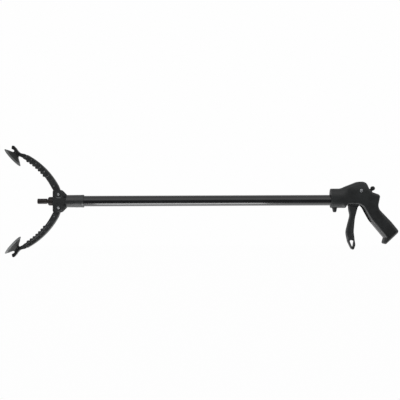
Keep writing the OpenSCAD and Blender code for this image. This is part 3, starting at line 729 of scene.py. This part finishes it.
# Brown-grey oxidised steel: turned, then darkened by heat and oil, so it has a warm tint and
# fine tool rings, and its rims are rubbed back towards bare metal.
# Tool rings 0.9 mm apart, coarser than the real 0.15 mm so that they show.
oxidised = finish(
    "oxidised_turned_steel", cloud=(180.0, 5.0, 0.6),
    tones=[(0.3, "#2e2c2b"), (0.55, "#3d3a39"), (0.8, "#4b4846")],
    rubbed="#6f6965", dull=(0.3, 0.8, 0.34, 0.55), rings=(340.0, 0.3), relief=(0.14, 0.00015),
    shader={"Metallic": 0.75})

boss = turned("tip_boss", [
    (3.72, HEAD_FRONT), (3.72, BOSS_TIP), (6.6, BOSS_TIP), (7.5, BOSS_TIP + 0.3), (8.2, BOSS_TIP + 0.9),
    (8.7, BOSS_TIP + 1.7), (8.95, BOSS_TIP + 2.6), (9.0, BOSS_TIP + 3.6), (9.0, HEAD_FRONT - 0.3),
    (8.8, HEAD_FRONT)
], "shaft", steps=72)
finished(boss, oxidised, "gunmetal", "front_boss")

stub = turned("tip_holder", [
    (4.02, STUB_TIP + 0.05), (4.9, STUB_TIP), (5.3, STUB_TIP + 0.25), (5.5, STUB_TIP + 0.8),
    (5.5, BOSS_TIP - 3.0), (5.3, BOSS_TIP - 2.5), (4.9, BOSS_TIP - 2.3), (3.65, BOSS_TIP - 2.3),
    (3.65, HEAD_FRONT + 2.6),
    (0, HEAD_FRONT + 2.6), (0, STUB_TIP + 4.1), (4.02, STUB_TIP + 4.1)
], "shaft", steps=72)
finished(stub, oxidised, "gunmetal", "magnet_holder")


# ---------------------------------------------------------------- jaw arms
# The two arms: identical curved glass-filled nylon mouldings, the lower one turned over. Each
# has an outer and an inner rail with a ribbed hollow between, and gripping teeth inside.

OUTER = ((-141.2, -57.0), 158.8)
INNER = ((-145.3, -52.9), 146.3)
ARM_END = 61.5
DOT = (-10, 17.8)
NECK = (-72, 80)
ARM_HALF = 6.0
CUP_PIN = (-82.7, 83.6)


def polar(circle, r, a):
    """A point at radius r and angle a in degrees about a rail's centre."""
    (cx, cz), _ = circle
    return (cx + r * math.cos(math.radians(a)), cz + r * math.sin(math.radians(a)))


def sweep(circle, r, a0, a1, count):
    """Points along a rail."""
    return [polar(circle, r, a0 + (a1 - a0) * k / count) for k in range(count + 1)]


def jawwards(piece, lower):
    """Moves a piece drawn about a jaw's pivot to its place, turned over for the lower jaw."""
    shift = Matrix.Translation(Vector((JAW_X, 0, PIN_Z)) / 1000)
    over = Matrix.Rotation(math.pi, 4, "X") if lower else Matrix.Identity(4)
    out = Matrix.Translation(-GRIP) @ over @ shift @ Matrix.Translation(GRIP)
    piece.data.transform(out)
    piece.data.update()
    return piece


def softened(piece, width, segments=3, angle=34):
    """Rounds a piece's hard edges by a width in mm, and applies it."""
    piece.data.shade_smooth()
    rounding = piece.modifiers.new("rounding", "BEVEL")
    rounding.width = width / 1000
    rounding.segments = segments
    rounding.limit_method = "ANGLE"
    rounding.angle_limit = math.radians(angle)
    rounding.use_clamp_overlap = True
    even = piece.modifiers.new("even", "WEIGHTED_NORMAL")
    even.weight = 90
    return applied(piece)


# Satin glass-filled nylon for the arms: the same plastic as the trigger with more bloom on it,
# rubbed paler along the rails and the tips of the teeth.
# Bloom in patches about 12 mm across, over streaks 1 mm apart.
arm_nylon = finish(
    "bloomed_nylon", cloud=(85.0, 5.0, 0.6), tones=[(0.3, "#2a2c2d"), (0.55, "#303233"), (0.8, "#393b3c")],
    rubbed="#5a5e60", dull=(0.3, 0.75, 0.36, 0.52), grain=(950.0, 2.0), relief=(0.16, 0.0002),
    shader={"IOR": 1.54, "Specular IOR Level": 0.5})

TEETH = [38.9 + 2.97 * k for k in range(7)]
POCKETS = [(32.5, 37), (37, 41.5), (41.5, 46), (46, 50.5), (50.5, 55), (55, 59.3)]


def tooth(a):
    """How far a rounded tooth stands from the inner rail, in mm, at an angle in degrees."""
    return max([2.3 * math.sqrt(max(0.0, math.cos(math.pi * (a - at) / 2.0)))
                for at in TEETH if abs(a - at) < 1.0] + [0.0])


def arm_height(x, z, depth):
    """An arm's side: rounded edges, and a shallow hollow between its rails that five ribs cross."""
    (cx, cz), _ = INNER
    r, a = np.hypot(x - cx, z - cz), np.degrees(np.arctan2(z - cz, x - cx))
    (ox, oz), _ = OUTER
    out = np.hypot(x - ox, z - oz)
    hollow = smooth(r, 149.4, 150.6) * (1 - smooth(out, 155.0, 156.2))
    between = np.zeros(len(x))
    for start, end in POCKETS:
        within = smooth(a, start + 0.15, start + 0.65) * (1 - smooth(a, end - 0.65, end - 0.15))
        between = np.maximum(between, within)
    return ARM_HALF - quarter(depth, 1.9) - 1.5 * hollow * between


arm_loop = [(7.4, 1.5), (2.6, 8)]
arm_loop += sweep(OUTER, 158.8, 28, ARM_END, 60)
arm_loop += [polar(INNER, 146.3 - tooth(a), a) for a in np.linspace(ARM_END - 0.4, 26.6, 150)]
arm_loop += [(-12.4, 9.4), (-7.6, -1)]
arm_rim = resampled(arm_loop, 1.2)
stations = sorted([28.5 + 0.5 * k for k in range(8)]
                  + [edge + step for start, end in POCKETS for edge, steps in
                     ((start, (0, 0.15, 0.32, 0.48, 0.65, 1.15, 1.65)),
                      (end, (-1.6, -1.1, -0.65, -0.48, -0.32, -0.15)))
                     for step in steps] + [(start + end) / 2 for start, end in POCKETS])
rails = [polar(INNER, r, a) for a in stations for r in (149.4, 149.8, 150.2, 150.6, 151.8, 153.0)]
rails += [polar(OUTER, r, a) for a in stations for r in (155.0, 155.4, 155.8, 156.2)]
shoulder = [(x, z) for x in np.arange(-26, 4, 1.6) for z in np.arange(2, 34, 1.6)
            if math.hypot(x - INNER[0][0], z - INNER[0][1]) < 156.5
            and math.degrees(math.atan2(z - INNER[0][1], x - INNER[0][0])) < 32]
free = np.array(rails + shoulder)
free = free[inside(free, arm_rim)]
free = free[rim_distance(free, arm_rim) > 2.0]
LEVER_DROP = PIN_Z - 2.5
ROD_TRAVEL = 8.908
lean = math.atan2(-LEVER_DROP, -ROD_TRAVEL / 2)
along, across = Vector((math.cos(lean), math.sin(lean))), Vector((-math.sin(lean), math.cos(lean)))
for lower, name in ((False, "upper"), (True, "lower")):
    body = name + "_jaw"
    arm = moulding("jaw_" + name, arm_rim, arm_height, body, steps=(0.12, 0.4, 0.8, 1.3, 1.9), pitch=60,
                   loops=(free,))
    lever = [along * s + across * q for s, q in box(0, 14.4, -3.6, 3.6)]
    slot = [along * s + across * q for s, q in box(LEVER_DROP - 0.3, 21, -1.7, 1.7)]
    merged(arm, [prism("hub", disc(0, 0, 8, 72), -7.7, 7.7), prism("dot", disc(*DOT, 1.5, 32), -6.5, 6.5),
                 prism("neck", stadium(NECK, 4.6, CUP_PIN, 3.2), -3, 3),
                 prism("lever", lever, -7.4, -2.9)], "UNION")
    merged(arm, [prism("fork_slot", slot, -20, 20),
                 prism("fork_end", disc(*along * (LEVER_DROP - 0.3), 1.7, 32), -20, 20),
                 prism("pivot_bore", disc(0, 0, 2.05), -20, 20),
                 prism("cup_bore", disc(*CUP_PIN, 1.52, 32), -20, 20)], "DIFFERENCE")
    jawwards(arm, lower)
    finished(arm, arm_nylon, "jaw_nylon", "jaw_arm_" + name)
    # The arms' dots are painted pale.
    arm.data.materials.append(pale_mark_nylon)
    for face in arm.data.polygons:
        middle = (face.center + GRIP) * 1000
        from_dot = math.hypot(middle.x - JAW_X - DOT[0], abs(middle.z) - PIN_Z - DOT[1])
        if from_dot < 1.8 and abs(middle.y) > 6.2:
            face.material_index = 1


# ---------------------------------------------------------------- cup holders and suction cups
# The jaw tips: a black nylon end piece with a clevis, a peg and a hooked finger, pinned to the
# arm's neck, and on its peg a soft rubber suction cup with a thin bright lip.

CUP_NECK = (-89.7, 83.3)
CUP_ANGLE = math.radians(41)
HUB_H = 10.0
CUP_R = 23.2
LIP_R = 19.2


def cupwards(h, w):
    """A point in side view from the cup's own frame: h back from the rim along its axis, w across."""
    c, s = math.cos(CUP_ANGLE), math.sin(CUP_ANGLE)
    return (CUP_NECK[0] - HUB_H * c + h * c - w * s, CUP_NECK[1] - HUB_H * s + h * s + w * c)


def cup_outline(corners, turn=10):
    """A rounded outline given in the cup's frame."""
    return [cupwards(*p) for p in rounded(corners, turn=turn, spacing=2.5)]


def cup_turned(name, profile, body, steps=96):
    """A turned piece about the cup's axis, from (radius, back from the rim) points."""
    c, s = math.cos(CUP_ANGLE), math.sin(CUP_ANGLE)
    x, z = cupwards(0, 0)
    return turned(name, profile, body, axis=((-s, 0, c), (0, 1, 0), (c, 0, s)), at=(x, 0, z), steps=steps)


# Moulded black nylon for the end pieces: unfilled, so it is deeper black and a little glossier
# than the arms, with a fine mould grain.
# Grain 0.7 mm across, coarser than the real 0.2 mm so that it shows.
holder_black = finish(
    "moulded_black_nylon", cloud=(120.0, 3.0), tones=[(0.3, "#0e0f10"), (0.75, "#191a1b")], rubbed="#363a3c",
    dull=(0.3, 0.7, 0.34, 0.5), grain=(1400.0, 2.0), relief=(0.15, 0.0002), shader={"IOR": 1.53})

# Soft rubber: a dusty dark grey that scatters light at grazing angles, greyer and thinner at
# the lip, with bloom in cloudy patches and faint rings from the mould.
# Dust specks 0.8 mm across, and cloudy bloom about 9 mm across.
cup_rubber = finish(
    "soft_grey_rubber", cloud=(110.0, 5.0), tones=[(0.25, "#151616"), (0.6, "#1f2020"), (0.85, "#2c2d2d")],
    rubbed="#7d7f7f", dull=(0.3, 0.8, 0.5, 0.72), grain=(1250.0, 3.0, 0.7), relief=(0.2, 0.00015),
    shader={"IOR": 1.5, "Sheen Weight": 0.1, "Sheen Roughness": 0.5})

# The lip of the cup: the same rubber, painted paler and a little smoother.
# Scuffs about 3 mm across.
lip_rubber = finish(
    "pale_rubber_lip", cloud=(330.0, 4.0, 0.6), tones=[(0.3, "#5c5e5e"), (0.75, "#767878")],
    dull=(0, 1, 0.42, 0.6), relief=(0.15, 0.00015), shader={"IOR": 1.5})

for lower, name in ((False, "upper"), (True, "lower")):
    body = name + "_jaw"
    holder = prism("end_piece_" + name, cup_outline(
        [(12, -6.6, 0.6), (12, 7.2, 0.6), (18.2, 7.2, 1), (18.6, -2, 3), (16, -8.8, 2.4)]), -6, 6)
    finger = prism("finger", cup_outline(
        [(12.6, 4, 0.5), (13.5, 9.4, 1.6), (12.3, 12.4, 0.5), (11.9, 15.2, 0.9), (14.0, 16.6, 0.8),
         (16.4, 18.4, 0.6), (18.9, 17.0, 0.8), (19.2, 9, 3), (18.3, 4, 0.5)]), -4.5, 4.5)
    ears = prism("ears", disc(*CUP_PIN, 3.9, 48), -5.7, 5.7)
    dish = cup_turned("dish", [(0, 11.5), (7.2, 11.5), (7.2, 13.35), (0, 13.35)], body)
    peg = cup_turned("cup_peg", [(0, 6.6), (3.5, 6.6), (3.5, 12.7), (0, 12.7)], body, 48)
    merged(holder, [finger, ears, dish, peg], "UNION")
    merged(holder, [prism("neck_slot", stadium(NECK, 6.4, CUP_PIN, 3.4), -3.02, 3.02),
                    prism("cup_bore", disc(*CUP_PIN, 1.52, 32), -20, 20)], "DIFFERENCE")
    softened(holder, 0.4)
    jawwards(holder, lower)
    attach(holder, body)
    finished(holder, holder_black, "holder_nylon", "cup_holder_" + name)

    cup = cup_turned("cup_" + name, [
        (22.9, 0.05), (CUP_R, 0.25), (CUP_R, 0.7), (22.8, 1.15), (22.0, 1.5), (20.6, 2.3), (LIP_R, 3.1),
        (LIP_R - 0.4, 3.55), (16.8, 4.75), (14.8, 5.8), (12.6, 6.9), (10.7, 7.9), (9.2, 8.8), (8.1, 9.7),
        (7.4, 10.5), (7.0, 11.1), (6.6, 11.4), (3.55, 11.4), (3.55, 6.5), (0, 6.5), (0, 5.2), (4, 5.0),
        (9, 4.4), (13, 3.5), (16.5, 2.4), (LIP_R, 1.3), (22.3, 0.1)
    ], body)
    jawwards(cup, lower)
    finished(cup, cup_rubber, "cup_rubber", "suction_cup_" + name)
    cup.data.materials.append(lip_rubber)
    rim_centre = place(JAW_X + cupwards(0, 0)[0], 0, (-1 if lower else 1) * (PIN_Z + cupwards(0, 0)[1]))
    # The lip beyond the rim's inner edge is painted pale.
    for face in cup.data.polygons:
        if (face.center - rim_centre).length * 1000 > LIP_R:
            face.material_index = 1


# ---------------------------------------------------------------- return spring
# The spring that opens the jaws: oiled steel wire, 1.4 mm thick, wound round the pull rod inside
# the tube between a collar on the rod and the guide plug. It is built at one length; the real one shortens as
# the trigger is pulled.

SPRING_FRONT = -36.2
SPRING_REAR = 14.8
SPRING_TURNS = 11

# Oiled spring steel: drawn wire, dark and slightly blue, with draw lines along the wire.
# Draw lines 0.3 mm apart across the wire.
spring_steel = finish(
    "oiled_spring_steel", cloud=(160.0, 4.0), tones=[(0.3, "#55585c"), (0.7, "#83878c")],
    dull=(0.3, 0.7, 0.22, 0.4), grain=(3200.0, 2.0), relief=(0.1, 0.00005), shader={"Metallic": 1.0})

bm = bmesh.new()
wire_sides, per_turn, coil_r, wire_r = 12, 28, 5.0, 0.7
count = SPRING_TURNS * per_turn
loops = []
for i in range(count + 1):
    a = 2 * math.pi * i / per_turn
    x = SPRING_FRONT + (SPRING_REAR - SPRING_FRONT) * i / count
    loop = []
    for k in range(wire_sides):
        b = 2 * math.pi * k / wire_sides
        r = coil_r + wire_r * math.cos(b)
        loop.append(bm.verts.new(place(x + wire_r * math.sin(b), r * math.cos(a), r * math.sin(a))))
    loops.append(loop)
for a, b in zip(loops, loops[1:]):
    for k in range(wire_sides):
        j = (k + 1) % wire_sides
        bm.faces.new((a[k], b[k], b[j], a[j]))
bm.faces.new(loops[0])
bm.faces.new(loops[-1][::-1])
coil = seal("return_coil", bm, "shaft")
finished(coil, spring_steel, "spring_steel", "return_spring")
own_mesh(coil)


# ---------------------------------------------------------------- fixings and inner parts
# What the assembly is put together with: bright pins and screws, blacked rivets, a leaf spring,
# and natural acetal bushes, guide, spool and crosshead. The modelled parts keep their own shapes.

# Bright turned steel: clean metal with fine lathe marks and a few finger-dulled spots.
# Lathe marks 0.5 mm apart, coarser than the real 0.1 mm so that they show.
bright_steel = finish(
    "bright_turned_steel", cloud=(240.0, 3.0), tones=[(0.3, "#a9acaf"), (0.7, "#c6c8c9")],
    dull=(0.3, 0.7, 0.34, 0.48), grain=(2000.0, 2.0), relief=(0.08, 0.00004), shader={"Metallic": 1.0})

# Blacked steel: a thin oxide over turned steel, nearly black and softly shining.
# Oxide patches about 5 mm across.
blacked = finish(
    "blacked_steel", cloud=(200.0, 4.0), tones=[(0.3, "#1c1d1f"), (0.75, "#313336")],
    dull=(0.3, 0.7, 0.3, 0.46), relief=(0.12, 0.00006), shader={"Metallic": 0.85})

# Natural acetal: waxy off-white plastic that lets a little light in, with turning marks.
# Turning marks 1 mm apart, coarser than the real 0.2 mm so that they show.
acetal = finish(
    "natural_acetal", cloud=(90.0, 3.0), tones=[(0.3, "#cfcdc3"), (0.75, "#dedcd3")],
    dull=(0.3, 0.7, 0.34, 0.48), grain=(1000.0, 2.0), relief=(0.1, 0.0001),
    shader={"IOR": 1.48, "Subsurface Weight": 0.08, "Subsurface Scale": 0.002})

# Nickel plate: bright, faintly warm metal with a soft cloudy shine.
# Plating cloud about 4 mm across.
nickel = finish(
    "nickel_plate", cloud=(250.0, 3.0), tones=[(0.3, "#b2aea8"), (0.7, "#cdc9c2")],
    dull=(0.3, 0.7, 0.14, 0.3), relief=(0.06, 0.00005), shader={"Metallic": 1.0})

# The leaf under the button: its rear end is held beneath the bushes. It is built flat; the real one's front
# lifts as the button is pressed. The plunger passes through a hole in it.
LEAF_FRONT, LEAF_REAR, LEAF_LOW, LEAF_TOP, LEAF_HALF = 4.0, 27.0, -13.15, -12.75, 4.4
bm = bmesh.new()
stations = [[bm.verts.new(place(x, y, z)) for y, z in box(-LEAF_HALF, LEAF_HALF, LEAF_LOW, LEAF_TOP)]
            for x in np.arange(LEAF_FRONT, LEAF_REAR + 0.1, 0.5)]
for one, two in zip(stations, stations[1:]):
    for k in range(4):
        bm.faces.new((one[k], two[k], two[(k + 1) % 4], one[(k + 1) % 4]))
bm.faces.new(stations[0])
bm.faces.new(stations[-1][::-1])
leaf = seal("lock_leaf", bm)
merged(leaf, [turned("leaf_hole", [(0, -14), (2.1, -14), (2.1, -12), (0, -12)], "handle", axis="z",
                     at=(BUTTON_X, 0, 0), steps=32, closed=False)], "DIFFERENCE")
finished(leaf, spring_steel, "spring_steel", "button_spring")
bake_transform(leaf)

# The trigger's pin and the jaws' pins are headed over at both ends: the trigger's is domed over its
# seat in the shells, and the jaws' are lower, on the faces of the plates' bosses.


def headed_pin(name, body, at, head_r, shank_r, seat, base, rise, step, steps):
    """A pin across the middle plane with a domed head at each end."""
    dome = [(head_r * math.sin(math.radians(a)), base + rise * math.cos(math.radians(a)))
            for a in range(0, 91, step)]
    half = dome + [(head_r, seat), (shank_r, seat)]
    return turned(name, half + [(r, -h) for r, h in half[::-1]], body, axis="y", at=(at[0], 0, at[1]),
                  steps=steps, closed=False)


PIN_SEAT, PIN_TOP = 13.8, 15.5
trigger_pin = headed_pin("trigger_pin", "handle", PIVOT, 3.7, 2.5, PIN_SEAT, PIN_SEAT + 0.3,
                         PIN_TOP - PIN_SEAT - 0.3, 9, 64)
finished(trigger_pin, bright_steel, "bright_steel", "trigger_pivot_pin")

BOSS_FACE = 12.2
jaw_pins, second = (headed_pin("jaw_pins", "shaft", (JAW_X, z), 2.6, 2.0, BOSS_FACE, BOSS_FACE + 0.05,
                               0.75, 10, 56) for z in (PIN_Z, -PIN_Z))
merged(jaw_pins, [second], "UNION")
finished(jaw_pins, bright_steel, "bright_steel", "jaw_pivot_pins")

FINISHES = {
    bright_steel: ("latch_pin", "crosshead_pins", "pull_rod", "spring_collar",
                   "handle_screws", "collar_screw", "ring_grub_screws"),
    blacked: ("head_rivets", "cup_pin_upper", "cup_pin_lower"),
    acetal: ("front_bush", "rear_bush", "retaining_ring", "rod_guide", "crosshead", "rod_spool"),
    nickel: ("magnet",),
}
for metal_or_plastic, names in FINISHES.items():
    for name in names:
        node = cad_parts[name]
        node.data.materials.clear()
        node.data.materials.append(metal_or_plastic)
        node.data.shade_smooth()
        node.data.set_sharp_from_angle(angle=math.radians(35))


# ---------------------------------------------------------------- floor, light and camera
# The studio: white paper under and behind the tool, a bright sky of diffusers above a dark room,
# and one low softbox in front that draws the bright line along the tube's underside.

FLOOR_Z = -0.42

# White seamless paper, lit evenly from its own lamps: matt, with a faint tooth drawn 2 mm across.
paper, t, where = blank("lit_seamless_paper")
fibre = add(t, "TexNoise", {"Scale": 500.0, "Detail": 3.0}, {"Vector": where})
tone = add(t, "ValToRGB", {"stops": [(0.3, "#fdfdfd"), (0.7, "#fefefe")]}, {"Fac": fibre.outputs["Fac"]})
glow = add(t, "Emission", {"Strength": 1.0}, {"Color": tone.outputs[0]})
add(t, "OutputMaterial", {}, {"Surface": glow.outputs[0]})

bm = bmesh.new()
for x, y in ((-6, -6), (6, -6), (6, 6), (-6, 6)):
    bm.verts.new((x, y, FLOOR_Z))
bm.faces.new(bm.verts[:])
mesh = bpy.data.meshes.new("floor")
bm.to_mesh(mesh)
bm.free()
floor = bpy.data.objects.new("floor", mesh)
bpy.context.scene.collection.objects.link(floor)
floor.data.materials.append(paper)
floor.visible_diffuse = floor.visible_glossy = floor.visible_shadow = False

# The surround: bright paper all round below eye level and behind, diffusers from 15 degrees up,
# and a dark room only towards the front, which leaves the tube its black core.
world = bpy.data.worlds.new("surround")
bpy.context.scene.world = world
world.use_nodes = True
world.node_tree.nodes.clear()
t = world.node_tree
way = add(t, "TexCoord")
facing = add(t, "SeparateXYZ", {}, {0: way.outputs["Generated"]})
level = add(t, "MapRange", {"From Min": -1.0, "From Max": 1.0}, {"Value": facing.outputs["Z"]})
ahead = add(t, "ValToRGB", {"stops": [
    (0.0, "#cecece"), (0.065, "#c8c8c8"), (0.1, "#444444"), (0.5, "#444444"), (0.6, "#4c4c4c"),
    (0.68, "#b8b8b8"), (0.9, "#b6b6b6"), (1.0, "#8e8e8e")]}, {"Fac": level.outputs[0]})
around = add(t, "ValToRGB", {"stops": [
    (0.0, "#cecece"), (0.3, "#cccccc"), (0.45, "#858585"), (0.54, "#7a7a7a"), (0.66, "#949494"),
    (0.9, "#8e8e8e")]}, {"Fac": level.outputs[0]})
front = add(t, "MapRange", {"interpolation_type": "SMOOTHSTEP", "From Min": -0.1, "From Max": -0.5},
            {"Value": facing.outputs["Y"]})
low = add(t, "MapRange", {"interpolation_type": "SMOOTHSTEP", "From Min": -0.87, "From Max": -0.8},
          {"Value": facing.outputs["Z"]})
room_side = add(t, "Math", {"operation": "MULTIPLY"}, {0: front.outputs[0], 1: low.outputs[0]})
sky = add(t, "Mix", {"data_type": "RGBA"},
          {"Factor": room_side.outputs[0], "A": around.outputs[0], "B": ahead.outputs[0]})
room = add(t, "Background", {"Strength": 2.0}, {"Color": sky.outputs["Result"]})
backing = add(t, "Background", {"Color": srgb("#fefefe"), "Strength": 1.0})
seen = add(t, "LightPath")
shown = add(t, "MixShader", {},
            {0: seen.outputs["Is Camera Ray"], 1: room.outputs[0], 2: backing.outputs[0]})
add(t, "OutputWorld", {}, {"Surface": shown.outputs[0]})


def panel(name, at, target, width, height, brightness):
    """A soft rectangular light aimed at a point, by its surface brightness against the paper's."""
    light = bpy.data.lights.new(name, "AREA")
    light.shape = "RECTANGLE"
    light.size, light.size_y, light.energy = width, height, brightness * math.pi * width * height
    made = bpy.data.objects.new(name, light)
    bpy.context.scene.collection.objects.link(made)
    made.location = at
    made.rotation_euler = (Vector(target) - Vector(at)).to_track_quat("-Z", "Y").to_euler()
    made.visible_camera = False
    return made


panel("low_softbox", (-0.43, -0.17, -0.37), (-0.42, 0, 0.05), 0.46, 0.26, 4.6)

lens = bpy.data.cameras.new("lens")
lens.lens = 65.0
lens.sensor_width = 36.0
lens.clip_end = 30.0
camera = bpy.data.objects.new("camera", lens)
bpy.context.scene.collection.objects.link(camera)
camera.location = (-0.3777, -1.4987, 0.0515)
camera.rotation_euler = (math.radians(90), math.radians(0.21), 0)
bpy.context.scene.camera = camera
bpy.context.scene.view_settings.view_transform = "Standard"
